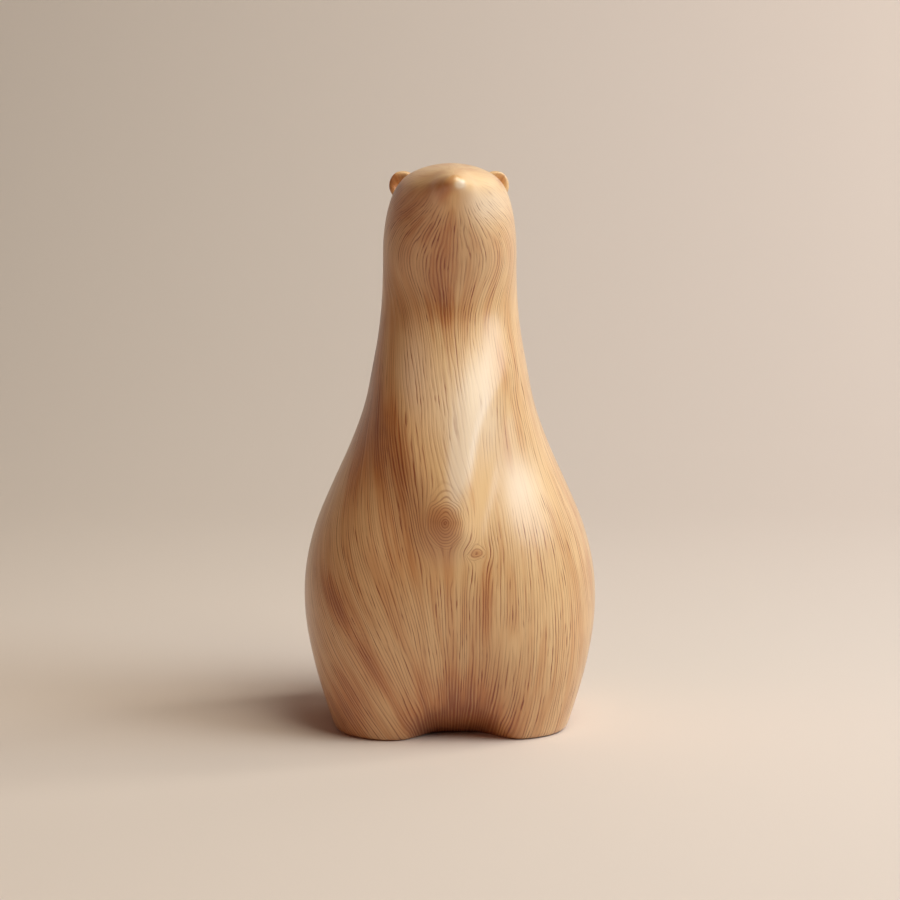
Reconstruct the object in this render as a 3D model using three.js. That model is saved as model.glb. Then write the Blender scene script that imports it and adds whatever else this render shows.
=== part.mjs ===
// A bear sitting upright, carved from one block of wood. Millimetres, +Z up.
// The bear looks along -Y, and the origin is at the middle of the flat underside.
//
// The form is a loft through carved sections. Each section is a plane that runs from the front
// outline of the side view (belly, chest, throat, jaw, nose) to the back outline (rump, back,
// nape, crown, muzzle). The planes lie level in the body and tip towards the nose in the head.
// Front relief (breast wedge, shoulders, legs, hollow between the feet) is pressed into the loft,
// and each ear grows out of the head through a loop of its grid, so the whole is one surface.
import * as THREE from 'three';

// Sections from the ground to the nose, which a round cap closes. front and back are [y, z] in the
// side view, half is the greatest half width, taper narrows the front of a section and widens its
// back, and corner is the power of the section's curve: 2 is an ellipse, 3 has fuller corners.
const SECTIONS = [
  { front: [-41, 0], back: [45.5, 0], half: 52.2, taper: 0, corner: 3.9 }, // ground
  { front: [-45.6, 12], back: [50.5, 12], half: 56.2, taper: 0, corner: 3.5 }, // feet
  { front: [-51.2, 28], back: [56, 28], half: 61, taper: 0, corner: 3 }, // shins
  { front: [-56, 48], back: [61, 48], half: 65.1, taper: 0.02, corner: 2.5 }, // haunches
  { front: [-57.2, 68], back: [62.8, 68], half: 65.0, taper: 0.03, corner: 2.25 }, // belly
  { front: [-54.8, 88], back: [60.6, 88], half: 60.4, taper: 0.05, corner: 2.2 }, // lower breast
  { front: [-50.0, 106], back: [55.2, 106], half: 52.8, taper: 0.07, corner: 2.2 }, // breast
  { front: [-44.8, 124], back: [48.6, 124], half: 44.6, taper: 0.08, corner: 2.2 }, // shoulders
  { front: [-39.8, 142], back: [42.8, 142], half: 38.0, taper: 0.07, corner: 2.2 }, // upper breast
  { front: [-34.8, 159], back: [38.2, 159], half: 34.5, taper: 0.05, corner: 2.2 }, // neck
  { front: [-30.4, 174], back: [35.2, 175], half: 31.7, taper: 0.04, corner: 2.2 }, // upper neck
  { front: [-27.8, 186], back: [34.0, 191], half: 30.2, taper: 0.04, corner: 2.2 }, // throat
  { front: [-29.4, 197], back: [32.8, 207], half: 29.6, taper: 0.06, corner: 2.2 }, // jaw's root
  { front: [-34.2, 207.5], back: [29.2, 222.5], half: 29.2, taper: 0.1, corner: 2.2 }, // jaw
  { front: [-39.6, 216], back: [20.6, 236.8], half: 27, taper: 0.16, corner: 2.2 }, // cheeks
  { front: [-44.6, 222.6], back: [6.8, 246.4], half: 23.4, taper: 0.2, corner: 2.08 }, // crown
  { front: [-48.4, 227], back: [-10, 249], half: 19.4, taper: 0.19, corner: 1.94 }, // brow
  { front: [-51.6, 230], back: [-26, 248.4], half: 15.4, taper: 0.14, corner: 1.82 }, // chin
  { front: [-53.9, 232.2], back: [-39.4, 247.2], half: 11.8, taper: 0.08, corner: 1.8 }, // muzzle
  { front: [-56, 234], back: [-49.4, 245.6], half: 8.4, taper: 0.03, corner: 1.84 }, // nostrils
  { front: [-58, 235.7], back: [-56.4, 243.9], half: 5.2, taper: 0, corner: 1.9 }, // nose
];

const COLUMNS = 64; // round the body
const ROW_SPACING = 5.6; // along the body
const HEAD_ROW_SPACING = 3.5; // along the head, from the throat on
const FIRST_HEAD_SECTION = 11;
const FRONT_CROWDING = 0.22; // share by which the columns crowd towards the front
const NOSE_CAP = 3.4; // how far the round cap of the nose stands before the last section
const NOSE_LEAN = 0.45; // how far the cap's edge already leans in, which carries on the muzzle's slope
const BASE_ROUND = 1.8; // radius on the edge of the underside
const UNDERSIDE_EDGE = 0.96; // scale of the ring that keeps the edge of the underside crisp

// Breast wedge: the folded forelegs, one raised form that tapers down to a round tip over the
// belly and bows a little to the bear's right. Its wall is steepest towards the bear's left, where
// a groove follows it, and slopes away widest on the bear's right.
const WEDGE = {
  tipX: 3.5, tipZ: 101, topZ: 175, tipRadius: 2.2, topRadius: 27.7,
  bow: -10.5, bowZ: 138, bowReach: 29,
  raise: 7.8, wallIn: -2.5, wallOut: 20, wallLean: 10, fadeFrom: 112, fadeTo: 184,
  groove: 1.2, grooveAt: 11, grooveWidth: 5,
};
const SHOULDER = { x: 31, z: 116, radius: 17, flatten: 2.6 };
const LEG = { x: 30, z: 8, width: 12, height: 32, raise: 1.8 };
const NOTCH = {
  x: 2.5, flat: 8, edge: 27, archHeight: 110, depth: 12, height: 11, hollow: 1.6, hollowHeight: 46,
};
const REAR_HOLLOW = { depth: 2.6, width: 15, height: 26 };
const MUZZLE_HOLLOW = { y: -46, z: 241, x: 12, radius: 7.5, depth: 1.9 };

// Ears: small round cups that stand on the crown's edge and face forward.
const EAR = {
  x: 19.5, y: 10, z: 238.2, // the middle of the root, on the head
  radius: 6.6, rise: 1.4, // the disc's own radius, and how far its middle stands off the root
  thickness: 5.8, cupRadius: 5.4, cupDepth: 3.9,
  collarWidth: 1.12, collarDepth: 1.5, // the collar at the root, against the ear's own size
  firstRise: 0.7, // how far the lowest loop of the disc stands off the root
  tiltBack: 0.16, outward: 0.62, // leaning of the ear's height axis
  rows: 3, columns: 6, levels: 7,
};

const clamp = THREE.MathUtils.clamp;
const lerp = THREE.MathUtils.lerp;
const smoothstep = THREE.MathUtils.smoothstep;
const smootherstep = THREE.MathUtils.smootherstep;
const bell = (distance, width) => Math.exp(-((distance / width) ** 2));

// Distance along the loft at each section: the mean of the steps of both outlines.
const STATIONS = [0];
for (let i = 1; i < SECTIONS.length; i++) {
  const step = (key) =>
    Math.hypot(
      SECTIONS[i][key][0] - SECTIONS[i - 1][key][0],
      SECTIONS[i][key][1] - SECTIONS[i - 1][key][1],
    );
  STATIONS.push(STATIONS[i - 1] + (step('front') + step('back')) / 2);
}
const LAST = SECTIONS.length - 1;
const THROAT = STATIONS[FIRST_HEAD_SECTION];
const NOSE = STATIONS[LAST];

// A smooth curve through one value of every section (cubic Hermite, slopes from the neighbours).
function smoothThrough(valueOf) {
  const values = SECTIONS.map(valueOf);
  const slopes = values.map((v, i) => {
    const before = Math.max(0, i - 1);
    const after = Math.min(LAST, i + 1);
    return (values[after] - values[before]) / (STATIONS[after] - STATIONS[before]);
  });
  return (s) => {
    let i = 0;
    while (i < LAST - 1 && s > STATIONS[i + 1]) i++;
    const length = STATIONS[i + 1] - STATIONS[i];
    const t = clamp((s - STATIONS[i]) / length, 0, 1);
    const u = 1 - t;
    return (
      values[i] * u * u * (1 + 2 * t) +
      values[i + 1] * t * t * (1 + 2 * u) +
      length * (slopes[i] * t * u * u - slopes[i + 1] * t * t * u)
    );
  };
}

const frontY = smoothThrough((section) => section.front[0]);
const frontZ = smoothThrough((section) => section.front[1]);
const backY = smoothThrough((section) => section.back[0]);
const backZ = smoothThrough((section) => section.back[1]);
const halfWidth = smoothThrough((section) => section.half);
const taper = smoothThrough((section) => section.taper);
const corner = smoothThrough((section) => section.corner);

// Signed distance outside the breast wedge in the front view: a round cone that stands on its
// small end. across and up are measured from the middle of that end.
function outsideWedge(across, up) {
  const length = WEDGE.topZ - WEDGE.tipZ;
  const sine = (WEDGE.topRadius - WEDGE.tipRadius) / length;
  const cosine = Math.sqrt(1 - sine * sine);
  const along = Math.abs(across) * sine + up * cosine;
  if (along < 0) return Math.hypot(across, up) - WEDGE.tipRadius;
  return Math.abs(across) * cosine - up * sine - WEDGE.tipRadius;
}

// How far the breast wedge stands forward of the loft.
function wedgeRelief(x, z) {
  const across = x - WEDGE.tipX - WEDGE.bow * bell(z - WEDGE.bowZ, WEDGE.bowReach);
  const up = z - WEDGE.tipZ;
  const outside = outsideWedge(across, up);
  const side = across / Math.hypot(across, up, WEDGE.tipRadius);
  const wall = 1 - smootherstep(outside, WEDGE.wallIn, WEDGE.wallOut - WEDGE.wallLean * side);
  const groove = bell(outside - WEDGE.grooveAt, WEDGE.grooveWidth) * smoothstep(side, 0, 0.8);
  const fade = 1 - smoothstep(z, WEDGE.fadeFrom, WEDGE.fadeTo);
  return (WEDGE.raise * wall - WEDGE.groove * groove) * fade;
}

// The arched hollow between the feet, with the shallow channel that runs up from it.
function notchRelief(x, z) {
  const across = Math.abs(x - NOTCH.x) / Math.max(0.1, 1 - z / NOTCH.archHeight);
  const scoop = NOTCH.depth * Math.exp(-((z / NOTCH.height) ** 1.25));
  const channel = NOTCH.hollow * bell(z, NOTCH.hollowHeight);
  return (scoop + channel) * (1 - smoothstep(across, NOTCH.flat, NOTCH.edge));
}

// How far the carving stands forward of the plain loft at a place in the front view.
function frontRelief(x, z) {
  const fromShoulder = Math.hypot(x - SHOULDER.x, z - SHOULDER.z);
  const shoulder = SHOULDER.flatten * bell(fromShoulder, SHOULDER.radius);
  const leg = LEG.raise * bell(Math.abs(x) - LEG.x, LEG.width) * bell(z - LEG.z, LEG.height);
  return wedgeRelief(x, z) - shoulder + leg - notchRelief(x, z);
}

// The rump's low hollow, between the haunches at the back.
function rearRelief(x, z) {
  return -REAR_HOLLOW.depth * bell(x, REAR_HOLLOW.width) * bell(z, REAR_HOLLOW.height);
}

// The point of the plain loft at a distance s along it and an angle round it, from 0 at the
// front through the bear's left side (+X) to pi at the back. forward is 1 at the front, -1 behind.
function loftPoint(s, angle) {
  const power = corner(s);
  const sum = Math.abs(Math.cos(angle)) ** power + Math.abs(Math.sin(angle)) ** power;
  const fuller = sum ** (-1 / power);
  const forward = fuller * Math.cos(angle);
  const point = new THREE.Vector3(
    halfWidth(s) * fuller * Math.sin(angle) * (1 - taper(s) * Math.cos(angle)),
    lerp(backY(s), frontY(s), (1 + forward) / 2),
    lerp(backZ(s), frontZ(s), (1 + forward) / 2),
  );
  return { point, forward };
}

// The round cap of the nose: the last section shrinks to a point as it moves forward. out is 1
// on the section and 0 at the tip.
function nosePoint(out, angle) {
  const turn = Math.acos(out * Math.cos(NOSE_LEAN));
  const height = (NOSE_CAP * (Math.sin(turn) - Math.sin(NOSE_LEAN))) / (1 - Math.sin(NOSE_LEAN));
  const rim = loftPoint(NOSE, angle).point;
  const chin = new THREE.Vector3(0, frontY(NOSE), frontZ(NOSE));
  const bridge = new THREE.Vector3(0, backY(NOSE), backZ(NOSE));
  const middle = chin.clone().add(bridge).divideScalar(2);
  const ahead = new THREE.Vector3(0, chin.z - bridge.z, bridge.y - chin.y).normalize();
  return rim.sub(middle).multiplyScalar(out).add(middle).addScaledVector(ahead, height);
}

// The edge of the underside is eased: points below the round move in towards the axis.
function easeBase(point) {
  const low = clamp(1 - point.z / BASE_ROUND, 0, 1);
  const inset = BASE_ROUND * (1 - Math.sqrt(1 - low * low));
  const shrink = 1 - inset / Math.hypot(point.x, point.y);
  point.x *= shrink;
  point.y *= shrink;
}

// The point of the carving itself: the loft with its relief.
function surfacePoint(s, angle) {
  const { point, forward } = loftPoint(s, angle);
  if (s < THROAT + 30) point.y -= frontRelief(point.x, point.z) * smoothstep(forward, 0, 0.6);
  point.y += rearRelief(point.x, point.z) * smoothstep(-forward, 0, 0.6);
  // Slight hollows beside the muzzle, between the nose and the brow.
  const beside = Math.hypot(
    Math.abs(point.x) - MUZZLE_HOLLOW.x, point.y - MUZZLE_HOLLOW.y, point.z - MUZZLE_HOLLOW.z,
  );
  point.x -= Math.sign(point.x) * MUZZLE_HOLLOW.depth * bell(beside, MUZZLE_HOLLOW.radius);
  easeBase(point);
  return point;
}

// Angle of a column, crowded a little towards the front where the relief is.
function columnAngle(column) {
  const even = (2 * Math.PI * column) / COLUMNS;
  return even - FRONT_CROWDING * Math.sin(even);
}

// Places of the rows along the loft. The first three round the edge of the underside.
function rowPlaces() {
  const places = [0, BASE_ROUND * 0.3, BASE_ROUND];
  for (let i = 1; i <= LAST; i++) {
    const spacing = i > FIRST_HEAD_SECTION ? HEAD_ROW_SPACING : ROW_SPACING;
    const from = i === 1 ? BASE_ROUND : STATIONS[i - 1];
    const steps = Math.max(1, Math.round((STATIONS[i] - from) / spacing));
    for (let k = 1; k <= steps; k++) places.push(from + ((STATIONS[i] - from) * k) / steps);
  }
  return places;
}

class Surface {
  constructor() {
    this.points = [];
    this.quads = [];
  }

  add(point) {
    this.points.push(point);
    return this.points.length - 1;
  }

  // Quads between two closed loops of equal length.
  bridge(lower, upper) {
    lower.forEach((a, i) => {
      const j = (i + 1) % lower.length;
      this.quads.push([a, lower[j], upper[j], upper[i]]);
    });
  }

  // Closes a loop by quads between its two sides, like the rungs of a ladder.
  ladder(loop) {
    const n = loop.length;
    for (let i = 0; i < n / 2 - 1; i++) {
      const corners = [loop[i], loop[i + 1], loop[n - 2 - i], loop[n - 1 - i]];
      this.quads.push(corners);
    }
  }

  // Fills a closed loop with a grid of squares, a quarter of the loop on each side. pointAt gives
  // the inner points from their share of the way out, 1 on the loop, and their place along it.
  fill(loop, pointAt) {
    const side = loop.length / 4;
    const grid = [];
    for (let row = 0; row <= side; row++) {
      const across = Array.from({ length: side + 1 }, (_, column) => {
        const u = (2 * column) / side - 1;
        const v = (2 * row) / side - 1;
        const out = Math.max(Math.abs(u), Math.abs(v));
        const place = out === 0 ? 0 : (side / 2) * Surface.roundSquare(u / out, v / out);
        return out === 1 ? loop[place % loop.length] : this.add(pointAt(out, place));
      });
      grid.push(across);
    }
    for (let row = 0; row < side; row++) {
      for (let column = 0; column < side; column++) {
        const [low, high] = [grid[row], grid[row + 1]];
        this.quads.push([low[column], low[column + 1], high[column + 1], high[column]]);
      }
    }
  }

  // Place along the edge of a square from -1 to 1, from 0 at its lowest corner to 8, all the way round.
  static roundSquare(u, v) {
    if (v === -1) return u + 1;
    if (u === 1) return v + 3;
    if (v === 1) return 5 - u;
    return 7 - v;
  }

  geometry() {
    const triangles = [];
    for (const [a, b, c, d] of this.quads) {
      if (a !== b && b !== c) triangles.push(a, b, c);
      if (c !== d && d !== a) triangles.push(a, c, d);
    }
    const geometry = new THREE.BufferGeometry();
    const positions = this.points.flatMap((p) => [p.x, p.y, p.z]);
    geometry.setAttribute('position', new THREE.Float32BufferAttribute(positions, 3));
    geometry.setIndex(triangles);
    return geometry;
  }
}

// Where on the loft the +X ear has its root: the distance along it and the angle round it that
// come nearest to the named place, found by halving steps.
function earRoot() {
  const target = new THREE.Vector3(EAR.x, EAR.y, EAR.z);
  const miss = ([s, angle]) => surfacePoint(s, angle).distanceTo(target);
  let place = [STATIONS[FIRST_HEAD_SECTION + 3], (2 * Math.PI) / 3];
  for (let step = 8; step > 0.01; step /= 2) {
    for (let pass = 0; pass < 8; pass++) {
      const tries = [[step, 0], [-step, 0], [0, step / 25], [0, -step / 25]];
      const moved = tries.map(([ds, da]) => [place[0] + ds, place[1] + da]);
      place = [place, ...moved].reduce((best, next) => (miss(next) < miss(best) ? next : best));
    }
  }
  return { s: place[0], angle: place[1] };
}

// Which of the values lies nearest to a wanted one.
function nearestIndex(values, wanted) {
  const misses = values.map((value) => Math.abs(value - wanted));
  return misses.indexOf(Math.min(...misses));
}

// The block of the grid that an ear replaces, centred on its root. side is 1 at +X, -1 at -X. An
// odd number of rows or columns has its middle halfway between two lines of the grid.
function earBlock(places, root, side) {
  const rows = places.map((s, i) => lerp(s, places[i + 1] ?? s, (EAR.rows % 2) / 2));
  const columns = Array.from({ length: COLUMNS / 2 }, (_, i) => columnAngle(i + (EAR.columns % 2) / 2));
  const row = nearestIndex(rows, root.s) - Math.floor(EAR.rows / 2);
  const column = nearestIndex(columns, root.angle) - Math.floor(EAR.columns / 2);
  return {
    rows: [row, row + EAR.rows],
    columns: side > 0 ? [column, column + EAR.columns] : [-column - EAR.columns, -column],
  };
}

// The indices of the grid's points all the way round a block.
function borderOf(grid, { rows: [r0, r1], columns: [c0, c1] }) {
  const at = (row, column) => grid[row][(column + COLUMNS) % COLUMNS];
  const border = [];
  for (let c = c0; c < c1; c++) border.push(at(r0, c));
  for (let r = r0; r < r1; r++) border.push(at(r, c1));
  for (let c = c1; c > c0; c--) border.push(at(r1, c));
  for (let r = r1; r > r0; r--) border.push(at(r, c0));
  return border;
}

// An ear's root and directions. alongRow and alongColumn lie in the head and out stands off it.
// height goes up the ear, forward out of its cup and across over its width.
function earFrame(place, side) {
  const angle = side * place.angle;
  const root = surfacePoint(place.s, angle);
  const step = 0.5;
  const turn = step / 30;
  const alongRow = surfacePoint(place.s + step, angle).sub(root).divideScalar(step);
  const alongColumn = surfacePoint(place.s, angle + turn).sub(root).divideScalar(turn);
  const out = alongColumn.clone().cross(alongRow).normalize();

  const height = new THREE.Vector3(side * EAR.outward, EAR.tiltBack, 1).normalize();
  height.lerp(out, 0.25).normalize();
  const forward = new THREE.Vector3(side * 0.18, -1, 0.12);
  forward.addScaledVector(height, -forward.dot(height)).normalize();
  const across = forward.clone().cross(height).normalize();
  return { s: place.s, angle, root, alongRow, alongColumn, out, height, forward, across };
}

// Even angles round the ear that follow the border as closely as they can, which keeps the quads
// between them regular.
function evenAngles(surface, border, ear) {
  const angles = border.map((index) => {
    const offset = surface.points[index].clone().sub(ear.root);
    return Math.atan2(offset.dot(ear.forward) / 1.2, offset.dot(ear.across));
  });
  const way = Math.sign(Math.sin(angles[1] - angles[0]));
  const even = angles.map((_, i) => angles[0] + (way * 2 * Math.PI * i) / angles.length);
  const misses = angles.map((a, i) => Math.atan2(Math.sin(a - even[i]), Math.cos(a - even[i])));
  const shift = misses.reduce((sum, miss) => sum + miss, 0) / angles.length;
  return even.map((a) => a + shift);
}

// The point of the head at an offset from the ear's root. Each pass steps along the head's own
// two directions by what is still missing.
function pointOnHead(ear, offset) {
  const target = ear.root.clone().add(offset);
  const rr = ear.alongRow.lengthSq();
  const cc = ear.alongColumn.lengthSq();
  const rc = ear.alongRow.dot(ear.alongColumn);
  let { s, angle } = ear;
  for (let pass = 0; pass < 4; pass++) {
    const miss = target.clone().sub(surfacePoint(s, angle));
    miss.addScaledVector(ear.out, -miss.dot(ear.out));
    const mr = miss.dot(ear.alongRow);
    const mc = miss.dot(ear.alongColumn);
    s += (cc * mr - rc * mc) / (rr * cc - rc * rc);
    angle += (rr * mc - rc * mr) / (rr * cc - rc * rc);
  }
  return surfacePoint(s, angle);
}

// The loop in which the ear leaves the head, a little wider and deeper than the ear itself.
function earCollar(surface, ear, angles) {
  const width = EAR.collarWidth * Math.sqrt(EAR.radius ** 2 - EAR.rise ** 2);
  const depth = (EAR.collarDepth * EAR.thickness) / 2;
  return angles.map((a) => {
    const offset = ear.across.clone().multiplyScalar(width * Math.cos(a));
    offset.addScaledVector(ear.forward, depth * Math.sin(a));
    return surface.add(pointOnHead(ear, offset));
  });
}

// A loop round the ear's disc, at an angle of rise above its middle. Its front is pressed in
// towards the middle of the disc, which makes the cup.
function cuppedLoop(surface, ear, angles, rise) {
  const width = EAR.radius * Math.cos(rise);
  const up = EAR.radius * Math.sin(rise);
  const depth = (EAR.thickness / 2) * (0.62 + 0.38 * Math.cos(rise));
  return angles.map((a) => {
    const beside = width * Math.cos(a);
    const fromMiddle = Math.hypot(beside, up) / EAR.cupRadius;
    const cup = Math.sin(a) > 0 ? EAR.cupDepth * (1 - smoothstep(fromMiddle, 0.2, 1.08)) : 0;
    const point = ear.root.clone().addScaledVector(ear.height, EAR.rise + up);
    point.addScaledVector(ear.across, beside).addScaledVector(ear.forward, (depth - cup) * Math.sin(a));
    return surface.add(point);
  });
}

// An ear: loops that leave the head at the block's border and climb round a cupped disc.
function growEar(surface, grid, block, place, side) {
  const ear = earFrame(place, side);
  const border = borderOf(grid, block);
  const angles = evenAngles(surface, border, ear);
  let loop = earCollar(surface, ear, angles);
  surface.bridge(border, loop);
  const lowest = Math.asin((EAR.firstRise - EAR.rise) / EAR.radius);
  const highest = THREE.MathUtils.degToRad(80);
  for (let level = 0; level <= EAR.levels; level++) {
    const next = cuppedLoop(surface, ear, angles, lerp(lowest, highest, level / EAR.levels));
    surface.bridge(loop, next);
    loop = next;
  }
  // The last loop is long and narrow: it closes across its thickness, from one end to the other.
  const start = nearestIndex(angles.map(Math.cos), 1);
  surface.ladder(loop.map((_, i) => loop[(start + i) % loop.length]));
}

// The flat underside: the ground outline drawn in towards its middle, so that every point keeps
// clear of the hollow between the feet.
function closeUnderside(surface, outline) {
  const ring = [...outline].reverse();
  const drawnIn = (index) => surface.points[index].clone().multiplyScalar(UNDERSIDE_EDGE);
  const inner = ring.map((index) => surface.add(drawnIn(index)));
  surface.bridge(ring, inner);
  const onRing = (i) => surface.points[inner[i % inner.length]].clone();
  surface.fill(inner, (out, place) =>
    onRing(Math.floor(place)).lerp(onRing(Math.ceil(place)), place % 1).multiplyScalar(out),
  );
}

function carveBear() {
  const surface = new Surface();
  const places = rowPlaces();
  const grid = places.map((s) =>
    Array.from({ length: COLUMNS }, (_, column) => surface.add(surfacePoint(s, columnAngle(column)))),
  );
  const root = earRoot();
  const blocks = [1, -1].map((side) => earBlock(places, root, side));
  const inBlock = (row, column) =>
    blocks.some(({ rows, columns }) =>
      [column, column - COLUMNS].some(
        (c) => row >= rows[0] && row < rows[1] && c >= columns[0] && c < columns[1],
      ),
    );

  for (let row = 0; row + 1 < grid.length; row++) {
    for (let column = 0; column < COLUMNS; column++) {
      if (inBlock(row, column)) continue;
      const next = (column + 1) % COLUMNS;
      surface.quads.push([grid[row][column], grid[row][next], grid[row + 1][next], grid[row + 1][column]]);
    }
  }
  closeUnderside(surface, grid[0]);
  surface.fill(grid.at(-1), (out, place) => nosePoint(out, columnAngle(place)));

  growEar(surface, grid, blocks[0], root, 1);
  growEar(surface, grid, blocks[1], root, -1);
  return surface.geometry();
}

const bear = new THREE.Group();
const wood = new THREE.MeshStandardMaterial({ color: 0xc99a62, roughness: 0.42, metalness: 0 });
const carving = new THREE.Mesh(carveBear(), wood);
carving.name = 'bear_carving';
bear.add(carving);

export default bear;
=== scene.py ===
"""A bear carved from one block of honey-coloured wood, on the pale sweep of a small photo studio.

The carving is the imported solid, smoothed and covered with grain that runs from the nose over the
cheeks and down the body, and parts round two knots on the front. Lengths here are in metres, but
for the grain, which is all laid out in millimetres.
"""

import math

import bpy
import numpy as np
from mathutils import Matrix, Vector


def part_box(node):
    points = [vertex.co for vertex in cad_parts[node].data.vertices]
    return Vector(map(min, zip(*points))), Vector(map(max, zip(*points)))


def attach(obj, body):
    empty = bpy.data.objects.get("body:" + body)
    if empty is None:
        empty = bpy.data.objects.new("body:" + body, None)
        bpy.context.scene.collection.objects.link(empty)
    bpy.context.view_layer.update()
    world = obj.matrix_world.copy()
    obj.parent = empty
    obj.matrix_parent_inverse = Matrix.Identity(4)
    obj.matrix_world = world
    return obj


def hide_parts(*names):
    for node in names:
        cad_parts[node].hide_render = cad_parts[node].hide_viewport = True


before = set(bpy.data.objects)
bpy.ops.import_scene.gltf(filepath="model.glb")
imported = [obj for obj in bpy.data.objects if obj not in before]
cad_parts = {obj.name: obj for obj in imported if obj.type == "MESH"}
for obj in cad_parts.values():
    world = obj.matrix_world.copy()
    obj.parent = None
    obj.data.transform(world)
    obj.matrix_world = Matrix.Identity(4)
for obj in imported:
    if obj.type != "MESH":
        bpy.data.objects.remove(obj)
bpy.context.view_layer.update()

bl_info = {
    "name": "Carved Bear",
    "version": (1, 0, 0),
    "blender": (4, 5, 0),
    "location": "3D View > Sidebar > Carved Bear",
    "description": "Finishes a carved wooden bear and builds the studio it stands in",
    "category": "Object",
}

CARVING = "bear_carving"
LOW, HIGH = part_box(CARVING)
HEIGHT = HIGH.z - LOW.z
MM = 0.001

# From here to the studio, lengths are in millimetres. The head's grain runs out from the top of
# the nose, round an axis that slopes down to the back. CHINWARD points from that axis to the chin.
NOSE_TOP = np.array((0.0, LOW.y / MM + 4.4, HIGH.z / MM - 5.0))
CHINWARD = np.array((0.0, -0.431, -0.902))

# The body's grain runs round an upright axis. The two blend between the throat and the crown.
BODY_AXIS_Y = 2.0
THROAT_Z = 190.0
CROWN_Z = 232.0

# How much longer the way along the grain is than the drop from the nose, at the front and at the
# back of the throat. Further down it evens out, and it is gone at LAG_END_Z.
FRONT_LAG = 9.5
BACK_LAG = 67.0
LAG_END_Z = 40.0

# The hollow between the feet: the heights, and the distances from the middle, over which it ends.
HOLLOW_TOP = (30.0, 48.0)
HOLLOW_SIDE = (28.0, 42.0)

# Stretches of the way along the grain, counted from the nose: off the nose, out of the throat, from
# the breast to the belly, and down to the feet. The last is the height of the forehead.
OFF_NOSE = (6.0, 26.0)
OUT_OF_THROAT = (56.0, 80.0)
TO_BELLY = (125.0, 165.0)
TO_FEET = (185.0, 235.0)
FOREHEAD_Z = (224.0, 240.0)

# How fast the lines turn round the carving on their way down, in radians per millimetre: where
# they sweep to the front, and where they draw together, at GATHER_WAY from the nose.
SWEEP_RATE = 0.0118
GATHER_RATE = 0.024
GATHER_WAY = 64.0
GATHER_REACH = 15.0
TRACE_STEPS = 14

# Places along the grain, counted from the nose, at which the pattern is laid out afresh. Each
# pattern is as wide as the carving is within LEVEL_REACH of its place, and is taken from
# PATTERN_STEP further along the noise than the one before it, so that no two are alike. One fades
# into the next over FADE_SPAN, as a share of the way between them.
LEVELS = np.array((5.0, 11.0, 20.0, 33.0, 50.0, 72.0, 98.0, 126.0, 154.0, 182.0, 210.0, 240.0))
LEVEL_REACH = 3.0
PATTERN_STEP = 97.0
FADE_SPAN = (0.12, 0.88)

# The knots, seen from the front: across and up, half width and half height, and how many rings
# each has. KNOT_Y is about how far back they lie.
KNOTS = (
    (-4.1, 98.5, 6.7, 8.7, 6.5),
    (9.2, 84.7, 3.2, 2.4, 2),
)
KNOT_Y = LOW.y / MM + 5

# Distances from a knot are counted in its own radii. Its rings fade over KNOT_FADE and are gone at
# KNOT_END, the lines part round it within about PARTING_REACH, and FAR_FROM_KNOTS stands for any
# place that no knot reaches. Above a knot, distances count for RIPPLE_SHARE of what they are.
KNOT_FADE = (1.0, 1.55)
KNOT_END = 1.6
PARTING_REACH = 3.0
FAR_FROM_KNOTS = 99.0
RIPPLE_SHARE = 0.4

# Soft spots on the front where the wood's colour changes: across and up, half width, half height,
# lean in degrees from upright, and strength. On the sides they end at SPOTS_END_Y. The darker
# spots are partly stains and streaks in the wood and partly painted shade, the paler ones are all
# painted light, and the calm ones fade the marks, mostly where highlights are painted.
STAINS_AND_PAINTED_SHADE = (
    (-50, 60, 4, 12, 25, 1.2),
    (-36, 36, 3.2, 11, 27, 1.0),
    (-44, 22, 4, 14, 27, 0.4),
    (-47, 12, 9, 14, 27, 1.3),
    (-45, 62, 11, 26, 20, 0.15),
    # Painted shade: the shadowed left of the breast's ridge, the left shoulder, the left edge of the
    # neck, the left cheek and the side of the nose.
    (-26, 128, 8, 36, 15, 1.1),
    (-37, 126, 7, 20, -16, 0.7),
    (-34, 172, 4, 28, -6, 1.2),
    (-22, 229, 9, 10, 0, 0.75),
    (-6, 237, 3.5, 4, -35, 0.9),
    (-6, 212, 9, 20, 0, 0.7),
    # Painted shade in the throat under the chin.
    (-5, 188, 6, 9, 14, 0.9),
    (14, 62, 2.6, 34, 0, 0.45),
    (-14, 34, 4, 18, 0, 0.5),
    # Painted shade in the hollow between the feet, darkest at the floor.
    (1, 18, 21, 14, 0, 1.2),
    (1, 5, 18, 8, 0, 3.2),
    # Painted shade left of and below the lower knot, under the breast's ridge.
    (-19, 85, 8, 14, 0, 0.3),
    (21, 163, 5, 12, -14, 0.3),
    # Painted shade in the two ear cups.
    (-25, 240.5, 3.2, 4.4, 0, 2.0),
    (21.5, 241, 2.2, 3.4, 0, 0.8),
)
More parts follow.
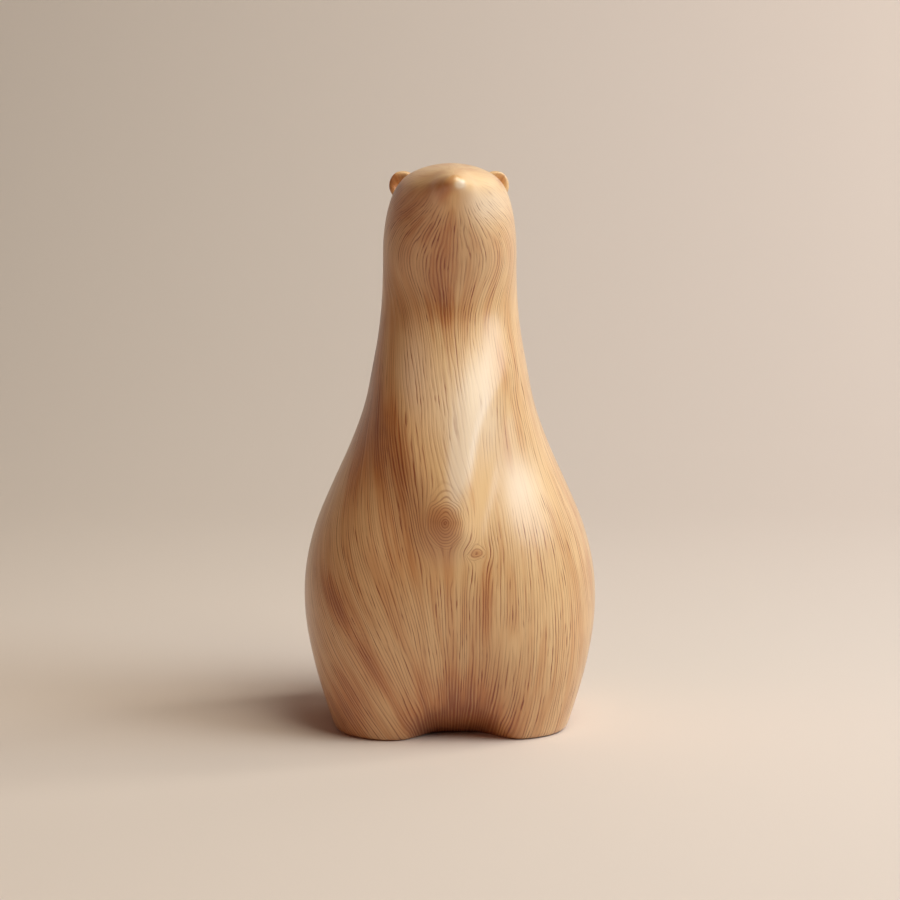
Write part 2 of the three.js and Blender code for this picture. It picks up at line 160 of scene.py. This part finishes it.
# All of these are painted light: lit patches on the chest and on its left, highlights on the breast,
# on its ridge and on the shoulder, a sheen in the groove beside the ridge, the lit right cheek and
# the highlight on the nose.
PAINTED_LIGHT_PLACES = (
    (-5, 148, 15, 26, -6, 0.5),
    (10, 151, 8, 24, -14, 0.85),
    (17, 134, 5, 18, -14, 0.5),
    (2.5, 124, 4.5, 20, -8, 1.3),
    (30, 113, 12, 20, -8, 0.55),
    (-19, 160, 8, 24, -10, 0.5),
    (15, 231, 12, 10, 0, 0.8),
    (2, 239.5, 2.2, 1.6, 0, 1.4),
)
CALM_AND_GLARE_PLACES = (
    (-1, 80, 15, 8, 0, 0.5),
    # Painted glare: these fade the marks under the painted highlights right of the knot, on the
    # shoulder, on the breast and on its ridge.
    (11, 108, 6, 16, 0, 0.7),
    (26, 113, 12, 18, 8, 0.75),
    (12, 158, 6, 22, -14, 0.7),
    (2.5, 124, 4, 18, -8, 0.6),
)
SPOTS_END_Y = 20.0

# On the underside: the middle of the growth rings, outside the carving, and the distance between
# two rings.
PITH_X = 30.0
PITH_Y = -160.0
RING_SPACING = 2.6

# The studio, in metres. The floor reaches from the front to the wall, which it curves up into.
SWEEP_FRONT = -2.4
SWEEP_BACK = 1.5
SWEEP_HALF_WIDTH = 3.0
WALL_HEIGHT = 2.6
CURVE_WIDTH = 0.9
CURVE_STEPS = 24
MIDDLE = (0, 0, HEIGHT / 2)
WALL_SPOT = (0.5, 2.4, 0.6)

# Each light's name, its angle round the carving from the front towards the picture's right and
# its rise above the middle, both in degrees, its distance and width, the setting that holds its
# power, its colour, and what it faces.
LIGHTS = (
    ("key_light", 50, 60, 1.3, 0.9, "key_power", (1, 0.96, 0.8), MIDDLE),
    ("side_light", 74, 31, 1.3, 0.8, "side_power", (0.78, 1, 1.2), MIDDLE),
    ("bounce_light", -50, 25, 1.6, 1.2, "bounce_power", (1, 0.45, 0.3), MIDDLE),
    ("wall_light", 107, 35, 2.05, 1, "wall_power", (1, 0.99, 0.9), WALL_SPOT),
)
AIR_COLOUR = (1, 0.95, 0.92, 1)
AIR_STRENGTH = 0.02

# The camera's lens and film width in millimetres, and the share of the height that it looks at.
LENS = 82.8
FILM_WIDTH = 36
LOOK_SHARE = 0.4906


def srgb(red, green, blue):
    """A colour given as on a screen, 0 to 255, as the linear values that Blender works with."""
    shares = (value / 255 for value in (red, green, blue))
    return tuple(s / 12.92 if s <= 0.04045 else ((s + 0.055) / 1.055) ** 2.4 for s in shares)


def opaque(colour):
    return (*colour, 1)


class CarvingSettings(bpy.types.PropertyGroup):
    """The carving's colours and how finely it is lined and smoothed"""

    pale_wood: bpy.props.FloatVectorProperty(
        name="Pale wood", description="Colour of the wood between its lines", subtype="COLOR",
        size=3, min=0, max=1, default=srgb(226, 184, 132),
    )
    deep_wood: bpy.props.FloatVectorProperty(
        name="Deep wood", description="Colour of the wood's darker bands", subtype="COLOR",
        size=3, min=0, max=1, default=srgb(199, 134, 78),
    )
    line_colour: bpy.props.FloatVectorProperty(
        name="Lines", description="Colour of the fine growth lines and dashes", subtype="COLOR",
        size=3, min=0, max=1, default=srgb(140, 66, 24),
    )
    # Painted highlight: the pale cream laid where highlights and lit patches are painted on the
    # wood.
    painted_light_colour: bpy.props.FloatVectorProperty(
        name="Worn wood", description="Colour of the wood where the finish is worn pale",
        subtype="COLOR", size=3, min=0, max=1, default=srgb(241, 217, 190),
    )
    knot_colour: bpy.props.FloatVectorProperty(
        name="Knots", description="Colour of the wood inside the knots", subtype="COLOR",
        size=3, min=0, max=1, default=srgb(186, 120, 70),
    )
    line_spacing: bpy.props.FloatProperty(
        name="Line spacing", description="Distance between neighbouring growth lines",
        default=1.45 * MM, min=0.5 * MM, max=6 * MM, unit="LENGTH", precision=4,
    )
    levels: bpy.props.IntProperty(
        name="Smoothing levels", description="Times that each face of the solid is divided",
        default=2, min=1, max=3,
    )


class StudioSettings(bpy.types.PropertyGroup):
    """The sweep's colour, the camera's place and the lights' powers"""

    sweep_colour: bpy.props.FloatVectorProperty(
        name="Sweep", description="Colour of the floor and of the wall it curves up into",
        subtype="COLOR", size=3, min=0, max=1, default=srgb(225, 211, 200),
    )
    camera_distance: bpy.props.FloatProperty(
        name="Camera distance", description="From the camera to the middle of the carving",
        default=0.925, min=0.4, max=4, unit="LENGTH",
    )
    camera_rise: bpy.props.FloatProperty(
        name="Camera rise", description="Angle at which the camera looks down",
        default=math.radians(7), min=0, max=math.radians(60), subtype="ANGLE",
    )
    camera_turn: bpy.props.FloatProperty(
        name="Camera turn", description="Angle of the camera round the carving, to its right side",
        default=math.radians(2), min=-math.pi, max=math.pi, subtype="ANGLE",
    )
    key_power: bpy.props.FloatProperty(
        name="Key light", description="Power of the high light at the front right, in watts",
        default=14.8, min=0, max=500,
    )
    side_power: bpy.props.FloatProperty(
        name="Side light", description="Power of the lower light on the right, in watts",
        default=7, min=0, max=500,
    )
    bounce_power: bpy.props.FloatProperty(
        name="Bounce", description="Power of the faint warm light on the left, in watts",
        default=2.6, min=0, max=500,
    )
    wall_power: bpy.props.FloatProperty(
        name="Wall light", description="Power of the light on the wall behind, in watts",
        default=24, min=0, max=500,
    )


def blend(low, high, share):
    return low + (high - low) * share


def ease(value, start, end):
    """0 up to start, 1 from end on, and a smooth turn between them."""
    t = np.clip((value - start) / (end - start), 0, 1)
    return t * t * (3 - 2 * t)


def fade(value, start, end):
    """1 up to start, 0 from end on, and a smooth turn between them."""
    return 1 - ease(value, start, end)


def bell(distance, width):
    return np.exp(-((distance / width) ** 2))


def full_front(x, z):
    """How far forward the front would reach if the hollow between the feet were filled."""
    depth = 42.5 + 0.31 * z
    half_width = 52 + 0.3 * z
    return depth * np.cbrt(np.clip(1 - np.abs(x / half_width) ** 3, 0, 1))


def grain_place(points):
    """Angle of each point round the grain, its way along it from the nose, and its distance from
    the grain's axis. The axis is the body's own up to the throat and the head's above it."""
    x, y, z = points.T
    from_nose = points - NOSE_TOP
    in_head = ease(z, THROAT_Z, CROWN_Z)
    forward = BODY_AXIS_Y - y
    # Between the feet the lines run straight on into the hollow, as they would without it.
    between_feet = fade(z, *HOLLOW_TOP) * fade(np.abs(x), *HOLLOW_SIDE) * (y < 0)
    forward = blend(forward, np.maximum(forward, full_front(x, z)), between_feet)
    forward = blend(forward, from_nose @ CHINWARD, in_head)
    angle = np.arctan2(x, forward)
    lag = blend(FRONT_LAG, BACK_LAG, (1 - np.cos(angle)) / 2) * ease(z, LAG_END_Z, THROAT_Z)
    along = blend(NOSE_TOP[2] - z + lag, np.linalg.norm(from_nose, axis=1), in_head)
    return angle, along, np.hypot(x, forward)


def drift(angle, along):
    """How fast a line of the grain turns round the carving on its way down, in radians per mm."""
    # The angle from the front round the bear's right side, counted from a little to its left.
    start = 0.6
    rightward = np.mod(start - angle, 2 * np.pi) - start
    # On the bear's right the lines sweep round to the front; on its left they run straight down.
    # Over the breast the sweep reaches past the middle, and over the belly it ends close to it.
    begin = blend(-0.5, -0.1, ease(along, *TO_BELLY))
    full, weaken, end = 0.95, np.pi / 4, 4.4
    across = ease(rightward, begin, full) * fade(rightward, weaken, end)
    down = ease(along, *OUT_OF_THROAT) * blend(1, 0.8, ease(along, *TO_FEET))
    # Under the jaw they draw together at the throat, a little to the bear's right.
    off_middle = 0.12
    throatward = np.sin(angle + off_middle) * (1 + np.cos(angle)) / 2
    gather = GATHER_RATE * throatward * bell(along - GATHER_WAY, GATHER_REACH)
    return SWEEP_RATE * across * down - gather


def part_round_knots(angle, points):
    """Pushes the lines aside so that they part above each knot and close again below it."""
    x, y, z = points.T
    for across, up, half_width, half_height, _ in KNOTS:
        reach = np.hypot((x - across) / half_width, (z - up) / half_height)
        reach = np.where(y < 0, np.maximum(reach, 1), FAR_FROM_KNOTS)
        pull = bell(reach - 1, PARTING_REACH) / reach**2
        middle = grain_place(np.array([[across, KNOT_Y, up]]))[0][0]
        angle = middle + (angle - middle) * (1 - pull)
    return angle


def trace(angle, along, level):
    """Follows each point's line of grain to a level and gives the angle that it has there."""
    step = (level - along) / TRACE_STEPS
    place = along
    for _ in range(TRACE_STEPS):
        halfway = angle + drift(angle, place) * step / 2
        angle = angle + drift(halfway, place + step / 2) * step
        place = place + step
    return angle


def lay_out_grain(points):
    """Two patterns' coordinates in millimetres, and how much of each shows at every point.

    A pattern is rolled round a cylinder as wide as the carving is at its level, so it closes at the
    back, its lines keep their spacing, and they follow the grain. Between two levels one pattern
    fades into the other. The shares are a cosine and a sine, which keeps the contrast even."""
    angle, along, radius = grain_place(points)
    radii = np.array([np.median(radius[np.abs(along - level) < LEVEL_REACH]) for level in LEVELS])
    angle = part_round_knots(angle, points)
    below = np.clip(np.searchsorted(LEVELS, along) - 1, 0, len(LEVELS) - 2)
    share = ease((along - LEVELS[below]) / (LEVELS[below + 1] - LEVELS[below]), *FADE_SPAN)
    even = below + below % 2
    odd = below + 1 - below % 2
    patterns = []
    for chosen in (even, odd):
        turned = trace(angle, along, LEVELS[chosen])
        x, y = radii[chosen] * (np.cos(turned), np.sin(turned))
        patterns.append(np.column_stack((x, y, along + PATTERN_STEP * chosen)))
    odd_share = np.where(below % 2 == 0, share, 1 - share) * np.pi / 2
    shares = np.column_stack((np.cos(odd_share), np.sin(odd_share), np.zeros(len(points))))
    return patterns[0], patterns[1], shares


def soft_spots(points, spots):
    """Adds up soft leaning ovals on the front of the carving."""
    x, y, z = points.T
    total = np.zeros(len(points))
    for across, up, half_width, half_height, lean, strength in spots:
        turn = math.radians(lean)
        side = (x - across) * math.cos(turn) + (z - up) * math.sin(turn)
        rise = (z - up) * math.cos(turn) - (x - across) * math.sin(turn)
        total += strength * np.exp(-((side / half_width) ** 2) - (rise / half_height) ** 2)
    return total * fade(y, 0, SPOTS_END_Y)


def lay_out_wood_and_painted_light(points):
    """The wood's tone, which stains and painted shade darken and painted light makes paler, how busy
    it is, and the underside.
    """
    z = points[:, 2]
    # Stains and painted shade darken the wood; painted light makes it paler.
    tone = soft_spots(points, STAINS_AND_PAINTED_SHADE) - soft_spots(points, PAINTED_LIGHT_PLACES)
    # Wood that is stained or painted in shade is a little busier, under painted light and painted
    # glare it is calmer, and the marks are faint on the nose and over the crown.
    along = grain_place(points)[1]
    on_nose, on_crown = 0.12, 0.3
    face = blend(on_nose, 1, ease(along, *OFF_NOSE)) * blend(1, on_crown, ease(z, *FOREHEAD_Z))
    busy = (1 + 0.35 * np.clip(tone, -0.4, 1) - soft_spots(points, CALM_AND_GLARE_PLACES)) * face
    underside = fade(z, 0.1, 0.5)
    return np.column_stack((tone, busy, underside))


def lay_out_knots(points):
    """The count of rings from the nearest knot's heart, how much they show, and the distance."""
    x, y, z = points.T
    turns, shows = np.zeros((2, len(points)))
    nearest = np.full(len(points), FAR_FROM_KNOTS)
    for across, up, half_width, half_height, rings in KNOTS:
        # Above a knot the rings stretch upwards into pointed ripples.
        rise = z - up
        above = np.maximum(rise - half_height, 0)
        stretched = np.minimum(rise, half_height) + RIPPLE_SHARE * above
        reach = np.hypot((x - across) / half_width, stretched / half_height)
        here = reach < KNOT_END
        turns = np.where(here, reach * rings, turns)
        shows = np.where(here, fade(reach, *KNOT_FADE) * (y < 0), shows)
        nearest = np.where(here, reach, nearest)
    return np.column_stack((turns, shows, nearest))


def store(mesh, name, values):
    """Keeps three numbers for each point of a mesh, for its material to read."""
    layer = mesh.attributes.new(name, "FLOAT_VECTOR", "POINT")
    layer.data.foreach_set("vector", np.ascontiguousarray(values, np.float32).ravel())


class Shader:
    """Short ways to add nodes to a material."""

    def __init__(self, name):
        self.material = bpy.data.materials.new(name)
        self.material.use_nodes = True
        self.tree = self.material.node_tree
        self.surface = self.tree.nodes["Principled BSDF"]
        self.place = self.add("ShaderNodeTexCoord", {}).outputs["Object"]

    def add(self, kind, inputs, **settings):
        """Adds a node, sets or links its inputs, and returns it."""
        node = self.tree.nodes.new(kind)
        for name, value in settings.items():
            setattr(node, name, value)
        for key, value in inputs.items():
            if isinstance(value, bpy.types.NodeSocket):
                self.tree.links.new(value, node.inputs[key])
            else:
                node.inputs[key].default_value = value
        return node

    def maths(self, operation, *values, clamp=False):
        inputs = dict(enumerate(values))
        return self.add("ShaderNodeMath", inputs, operation=operation, use_clamp=clamp).outputs[0]

    def total(self, first, *others):
        for other in others:
            first = self.maths("ADD", first, other)
        return first

    def product(self, first, *others):
        for other in others:
            first = self.maths("MULTIPLY", first, other)
        return first

    def scaled(self, vector, factors):
        inputs = {0: vector, 1: factors}
        return self.add("ShaderNodeVectorMath", inputs, operation="MULTIPLY").outputs[0]

    def length(self, vector):
        node = self.add("ShaderNodeVectorMath", {0: vector}, operation="LENGTH")
        return node.outputs["Value"]

    def parts(self, vector):
        return self.add("ShaderNodeSeparateXYZ", {0: vector}).outputs

    def remap(self, value, start, end, low=0.0, high=1.0):
        """low where the value is at start or before it, high from end on, and eased between."""
        inputs = {"Value": value, "From Min": start, "From Max": end, "To Min": low, "To Max": high}
        return self.add("ShaderNodeMapRange", inputs, interpolation_type="SMOOTHSTEP").outputs[0]

    def noise(self, vector, scale=1.0, detail=0.0):
        inputs = {"Vector": vector, "Scale": scale, "Detail": detail}
        return self.add("ShaderNodeTexNoise", inputs).outputs[0]

    def mix(self, share, first, second):
        """One colour turning into another. The node keeps its colours at inputs 6 and 7."""
        node = self.add("ShaderNodeMix", {0: share, 6: first, 7: second}, data_type="RGBA")
        return node.outputs[2]

    def attribute(self, name):
        return self.add("ShaderNodeAttribute", {}, attribute_name=name).outputs["Vector"]

    def finish(self, colour, roughness, relief, strength, depth):
        """Links a colour, a roughness and a bump of the given depth to the surface."""
        inputs = {"Strength": strength, "Distance": depth, "Height": relief}
        bump = self.add("ShaderNodeBump", inputs).outputs[0]
        for name, value in (("Base Color", colour), ("Roughness", roughness), ("Normal", bump)):
            self.tree.links.new(value, self.surface.inputs[name])


class Grain:
    """Stripes and noise that run along the grain, taken from the two laid-out patterns."""

    def __init__(self, shader, spacing):
        self.shader = shader
        self.spacing = spacing
        self.patterns = [shader.attribute("grain_even"), shader.attribute("grain_odd")]
        self.shares = shader.parts(shader.attribute("grain_shares"))

    def blended(self, layers):
        """Adds up one value of each pattern, by how much of the pattern shows."""
        shown = [self.shader.product(layer, share) for layer, share in zip(layers, self.shares)]
        return self.shader.total(*shown)

    def stripes(self, wander):
        """Stripes along the grain, from -1 to 1, a whole number of them round each pattern.
        wander moves them aside, in radians."""
        shader = self.shader
        waves = []
        for pattern in self.patterns:
            x, y, _ = shader.parts(pattern)
            radius = shader.length(shader.scaled(pattern, (1, 1, 0)))
            count = shader.maths("ROUND", shader.product(radius, 2 * math.pi / self.spacing))
            phase = shader.product(shader.maths("ARCTAN2", y, x), count)
            waves.append(shader.maths("SINE", shader.total(phase, wander)))
        return self.blended(waves)

    def noise(self, lines, length, detail=0.0):
        """Features about as wide as a number of lines and as long as the given millimetres, even
        round 0."""
        shader = self.shader
        width = lines * self.spacing
        factors = (1 / width, 1 / width, 1 / length)
        layers = []
        for pattern in self.patterns:
            raw = shader.noise(shader.scaled(pattern, factors), detail=detail)
            layers.append(shader.maths("SUBTRACT", raw, 0.5))
        return self.blended(layers)


def bare_wood(shader, grain, settings, tone):
    """The wood without its marks. Broad bands and cloudy patches change its colour a little, stains
    and painted shade change it more, and painted light turns it towards a pale cream."""
    bands = shader.remap(grain.noise(3.2, 80, detail=1.5), -0.16, 0.2, -0.1, 0.5)
    patches = shader.remap(shader.noise(shader.place, scale=26, detail=2), 0.35, 0.7, -0.1, 0.2)
    depth = shader.total(bands, patches, tone)
    colour = shader.mix(depth, opaque(settings.pale_wood), opaque(settings.deep_wood))
    # Where stains and painted shade pile up, as in the hollow between the feet, the wood turns
    # towards the lines' colour.
    very_deep = shader.remap(depth, 0.8, 2.2, 0.0, 0.8)
    colour = shader.mix(very_deep, colour, opaque(settings.line_colour))
    # Painted light: where the pale places outweigh the stains, the wood turns cream, for highlights
    # and lit patches.
    painted_light_share = shader.remap(tone, -0.1, -1.1, 0.0, 0.85)
    return shader.mix(painted_light_share, colour, opaque(settings.painted_light_colour))


def growth_lines(shader, grain):
    """Stripes along the grain that wander broadly and tremble finely."""
    wander = shader.product(grain.noise(5, 60, detail=1.5), 20)
    tremble = shader.product(grain.noise(1.4, 9, detail=1), 3.2)
    return grain.stripes(shader.total(wander, tremble))


def brown_marks(shader, grain, stripes):
    """Lines that are stronger and weaker along their way, short dark dashes that lie in them and
    are crowded in some places, and fine fibres."""
    presence = shader.remap(grain.noise(1.1, 30, detail=1), -0.16, 0.22, 0.25, 1.0)
    lines = shader.product(shader.remap(stripes, 0.3, 1.1), presence)
    dashes = shader.remap(grain.noise(0.55, 7.5, detail=1), 0.04, 0.2)
    crowd = shader.remap(grain.noise(4, 34), -0.14, 0.14, 0.1, 1.0)
    dashes = shader.product(dashes, crowd, shader.remap(stripes, -0.2, 0.8))
    fibres = shader.remap(grain.noise(0.3, 12, detail=1), -0.05, 0.25, 0.0, 0.22)
    return shader.total(shader.product(lines, 0.72), shader.product(dashes, 0.65), fibres)


def knot_rings(shader, turns, shows, reach):
    """Fine rings with a little wobble, round a dark heart."""
    wobble = shader.remap(shader.noise(shader.place, scale=170), 0.3, 0.7, -0.4, 0.4)
    waves = shader.maths("SINE", shader.product(shader.total(turns, wobble), 2 * math.pi))
    rings = shader.remap(waves, 0.0, 1.1, 0.0, 0.7)
    heart = shader.remap(reach, 0.1, 0.36, 0.4, 0.0)
    return shader.product(shader.maths("ADD", rings, heart, clamp=True), shows)


def end_grain(shader, settings):
    """Wide arcs of growth rings, as on a sawn end."""
    inputs = {"Vector": shader.place, "Location": (-PITH_X * MM, -PITH_Y * MM, 0)}
    from_pith = shader.add("ShaderNodeMapping", inputs).outputs[0]
    distance = shader.length(shader.scaled(from_pith, (1 / MM, 1 / MM, 0)))
    waves = shader.maths("SINE", shader.product(distance, 2 * math.pi / RING_SPACING))
    arcs = shader.remap(waves, 0.1, 0.95, 0.1, 0.7)
    return shader.mix(arcs, opaque(settings.deep_wood), opaque(settings.line_colour))


def oiled_wood(settings):
    """Honey-coloured softwood with fine brown marks, knots and a satin oil finish."""
    shader = Shader("oiled_wood")
    grain = Grain(shader, settings.line_spacing / MM)
    # tone carries the stains, painted shade and painted light, and busy the calm places and painted
    # glare.
    tone, busy, underside = shader.parts(shader.attribute("figure"))
    turns, shows, reach = shader.parts(shader.attribute("knot"))
    stripes = growth_lines(shader, grain)
    gleams = shader.remap(stripes, -0.3, -1.2, 0.0, 0.3)

    # In the knots the grain's own marks fade out, and rings take their place.
    in_knot = shader.product(shader.remap(reach, 0.5, 1.2, 0.6, 0.0), shows)
    outside = shader.maths("SUBTRACT", 1.0, shader.product(shows, 0.85))
    marks = shader.product(brown_marks(shader, grain, stripes), busy, outside)
    rings = shader.product(knot_rings(shader, turns, shows, reach), 0.75)
    marks = shader.maths("ADD", marks, rings, clamp=True)

    colour = bare_wood(shader, grain, settings, tone)
    colour = shader.mix(in_knot, colour, opaque(settings.knot_colour))
    colour = shader.mix(shader.product(outside, busy, gleams), colour, opaque(settings.pale_wood))
    colour = shader.mix(marks, colour, opaque(settings.line_colour))
    colour = shader.mix(underside, colour, end_grain(shader, settings))

    roughness = shader.remap(marks, 0.0, 0.8, 0.4, 0.55)
    relief = shader.maths("SUBTRACT", shader.product(gleams, busy), marks)
    shader.finish(colour, roughness, relief, strength=0.5, depth=0.2 * MM)
    shader.surface.inputs["IOR"].default_value = 1.5
    shader.surface.inputs["Coat Weight"].default_value = 0.75
    shader.surface.inputs["Coat Roughness"].default_value = 0.3
    return shader.material


def pale_paper(settings):
    """The studio's painted sweep: matt, with the faintest tooth. It turns rosier to the right and
    in cloudy patches."""
    shader = Shader("pale_paper")
    right_side = opaque(srgb(215, 200, 193))
    patches = opaque(srgb(214, 196, 186))
    rightward = shader.remap(shader.parts(shader.place)[0], -0.5, 0.5)
    cloud = shader.noise(shader.place, scale=1.4, detail=1)
    tooth = shader.noise(shader.place, scale=900, detail=2)
    colour = shader.mix(rightward, opaque(settings.sweep_colour), right_side)
    colour = shader.mix(shader.remap(cloud, 0.3, 0.7, 0.0, 0.12), colour, patches)
    roughness = shader.remap(tooth, 0.3, 0.7, 0.8, 0.95)
    shader.finish(colour, roughness, tooth, strength=0.1, depth=0.1 * MM)
    return shader.material


def apply_modifier(piece, kind, **settings):
    modifier = piece.modifiers.new(kind.title(), kind)
    for name, value in settings.items():
        setattr(modifier, name, value)
    bpy.context.view_layer.objects.active = piece
    bpy.ops.object.modifier_apply(modifier=modifier.name)


def copy_of_node(node, name):
    """A free copy of a CAD node with its loose triangles joined into a smooth net of squares."""
    bpy.ops.object.select_all(action="DESELECT")
    node.select_set(True)
    bpy.context.view_layer.objects.active = node
    bpy.ops.object.duplicate()
    piece = bpy.context.view_layer.objects.active
    piece.name = name
    piece.parent = None
    for key in list(piece.keys()):
        del piece[key]
    bpy.ops.object.mode_set(mode="EDIT")
    bpy.ops.mesh.select_all(action="SELECT")
    bpy.ops.mesh.remove_doubles(threshold=0.002 * MM)
    any_angle = math.radians(90)
    bpy.ops.mesh.tris_convert_to_quads(
        face_threshold=any_angle, shape_threshold=any_angle, topology_influence=1.0
    )
    bpy.ops.object.mode_set(mode="OBJECT")
    return piece


def points_of(mesh):
    """A mesh's points in millimetres, one to a row."""
    flat = np.empty(len(mesh.vertices) * 3)
    mesh.vertices.foreach_get("co", flat)
    return flat.reshape(-1, 3) / MM


class OBJECT_OT_carved_bear(bpy.types.Operator):
    """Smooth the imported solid, lay out its grain and give it the oiled wood"""

    bl_idname = "object.carved_bear"
    bl_label = "Carved bear"

    def execute(self, context):
        settings = context.scene.carving
        bear = copy_of_node(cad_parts[CARVING], "carved_bear")
        apply_modifier(bear, "SUBSURF", levels=settings.levels, render_levels=settings.levels)
        bpy.ops.object.shade_smooth()
        points = points_of(bear.data)
        even, odd, shares = lay_out_grain(points)
        store(bear.data, "grain_even", even)
        store(bear.data, "grain_odd", odd)
        store(bear.data, "grain_shares", shares)
        store(bear.data, "figure", lay_out_wood_and_painted_light(points))
        store(bear.data, "knot", lay_out_knots(points))
        bear.data.materials.clear()
        bear.data.materials.append(oiled_wood(settings))
        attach(bear, "root")
        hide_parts(CARVING)
        return {"FINISHED"}


def direction(turn, rise):
    """A direction away from the carving: its angle round it, from the front towards the picture's
    right, and its angle above level, both in radians."""
    level = math.cos(rise)
    return Vector((math.sin(turn) * level, -math.cos(turn) * level, math.sin(rise)))


def aim(thing, target):
    thing.rotation_euler = (Vector(target) - thing.location).to_track_quat("-Z", "Y").to_euler()


def add_sweep(settings):
    """The floor, which curves up into a wall behind the carving."""
    bpy.ops.object.select_all(action="DESELECT")
    bpy.ops.mesh.primitive_plane_add(size=1)
    sweep = bpy.context.view_layer.objects.active
    sweep.name = "studio_sweep"
    for corner in sweep.data.vertices:
        x, y, z = corner.co
        corner.co = (math.copysign(SWEEP_HALF_WIDTH, x), SWEEP_BACK if y > 0 else SWEEP_FRONT, z)
    bpy.ops.object.mode_set(mode="EDIT")
    bpy.ops.mesh.select_mode(type="EDGE")
    bpy.ops.mesh.select_all(action="DESELECT")
    bpy.ops.object.mode_set(mode="OBJECT")
    for edge in sweep.data.edges:
        edge.select = all(sweep.data.vertices[v].co.y > 0 for v in edge.vertices)
    bpy.ops.object.mode_set(mode="EDIT")
    bpy.ops.mesh.extrude_region_move(TRANSFORM_OT_translate={"value": (0, 0, WALL_HEIGHT)})
    bpy.ops.object.mode_set(mode="OBJECT")
    apply_modifier(
        sweep, "BEVEL", width=CURVE_WIDTH, segments=CURVE_STEPS, limit_method="ANGLE", affect="EDGES"
    )
    bpy.ops.object.shade_smooth()
    sweep.data.materials.append(pale_paper(settings))


def add_light(name, turn, rise, distance, width, power, colour, target):
    """A soft square light, placed and aimed as a row of LIGHTS says, with its power in watts."""
    away = direction(math.radians(turn), math.radians(rise))
    bpy.ops.object.light_add(type="AREA", location=Vector(MIDDLE) + away * distance)
    lamp = bpy.context.view_layer.objects.active
    lamp.name = name
    lamp.data.size = width
    lamp.data.energy = power
    lamp.data.color = colour
    aim(lamp, target)


def add_air():
    """The faint light that comes from all round."""
    world = bpy.data.worlds.new("studio_air")
    world.use_nodes = True
    air = world.node_tree.nodes["Background"].inputs
    air["Color"].default_value = AIR_COLOUR
    air["Strength"].default_value = AIR_STRENGTH
    bpy.context.scene.world = world


def add_camera(settings):
    away = direction(-settings.camera_turn, settings.camera_rise)
    target = Vector((0, 0, HEIGHT * LOOK_SHARE))
    bpy.ops.object.camera_add(location=target + away * settings.camera_distance)
    camera = bpy.context.view_layer.objects.active
    camera.name = "studio_camera"
    camera.data.lens = LENS
    camera.data.sensor_width = FILM_WIDTH
    aim(camera, target)
    bpy.context.scene.camera = camera


class OBJECT_OT_bear_studio(bpy.types.Operator):
    """Build the pale sweep, the soft lights and the camera"""

    bl_idname = "object.bear_studio"
    bl_label = "Studio"

    def execute(self, context):
        settings = context.scene.studio
        add_sweep(settings)
        for name, turn, rise, distance, width, power, colour, target in LIGHTS:
            add_light(name, turn, rise, distance, width, getattr(settings, power), colour, target)
        add_camera(settings)
        add_air()
        context.scene.view_settings.view_transform = "Standard"
        return {"FINISHED"}


class VIEW3D_PT_carved_bear(bpy.types.Panel):
    bl_label = "Carved Bear"
    bl_idname = "VIEW3D_PT_carved_bear"
    bl_space_type = "VIEW_3D"
    bl_region_type = "UI"
    bl_category = "Carved Bear"

    def draw(self, context):
        layout = self.layout
        for settings, operator in (
            (context.scene.carving, OBJECT_OT_carved_bear),
            (context.scene.studio, OBJECT_OT_bear_studio),
        ):
            for name in settings.bl_rna.properties.keys():
                if name not in ("rna_type", "name"):
                    layout.prop(settings, name)
            layout.operator(operator.bl_idname)


CLASSES = (
    CarvingSettings,
    StudioSettings,
    OBJECT_OT_carved_bear,
    OBJECT_OT_bear_studio,
    VIEW3D_PT_carved_bear,
)


def register():
    for kind in CLASSES:
        bpy.utils.register_class(kind)
    bpy.types.Scene.carving = bpy.props.PointerProperty(type=CarvingSettings)
    bpy.types.Scene.studio = bpy.props.PointerProperty(type=StudioSettings)


def unregister():
    del bpy.types.Scene.studio
    del bpy.types.Scene.carving
    for kind in reversed(CLASSES):
        bpy.utils.unregister_class(kind)


def main():
    register()
    bpy.ops.object.carved_bear()
    bpy.ops.object.bear_studio()


if __name__ == "__main__":
    main()
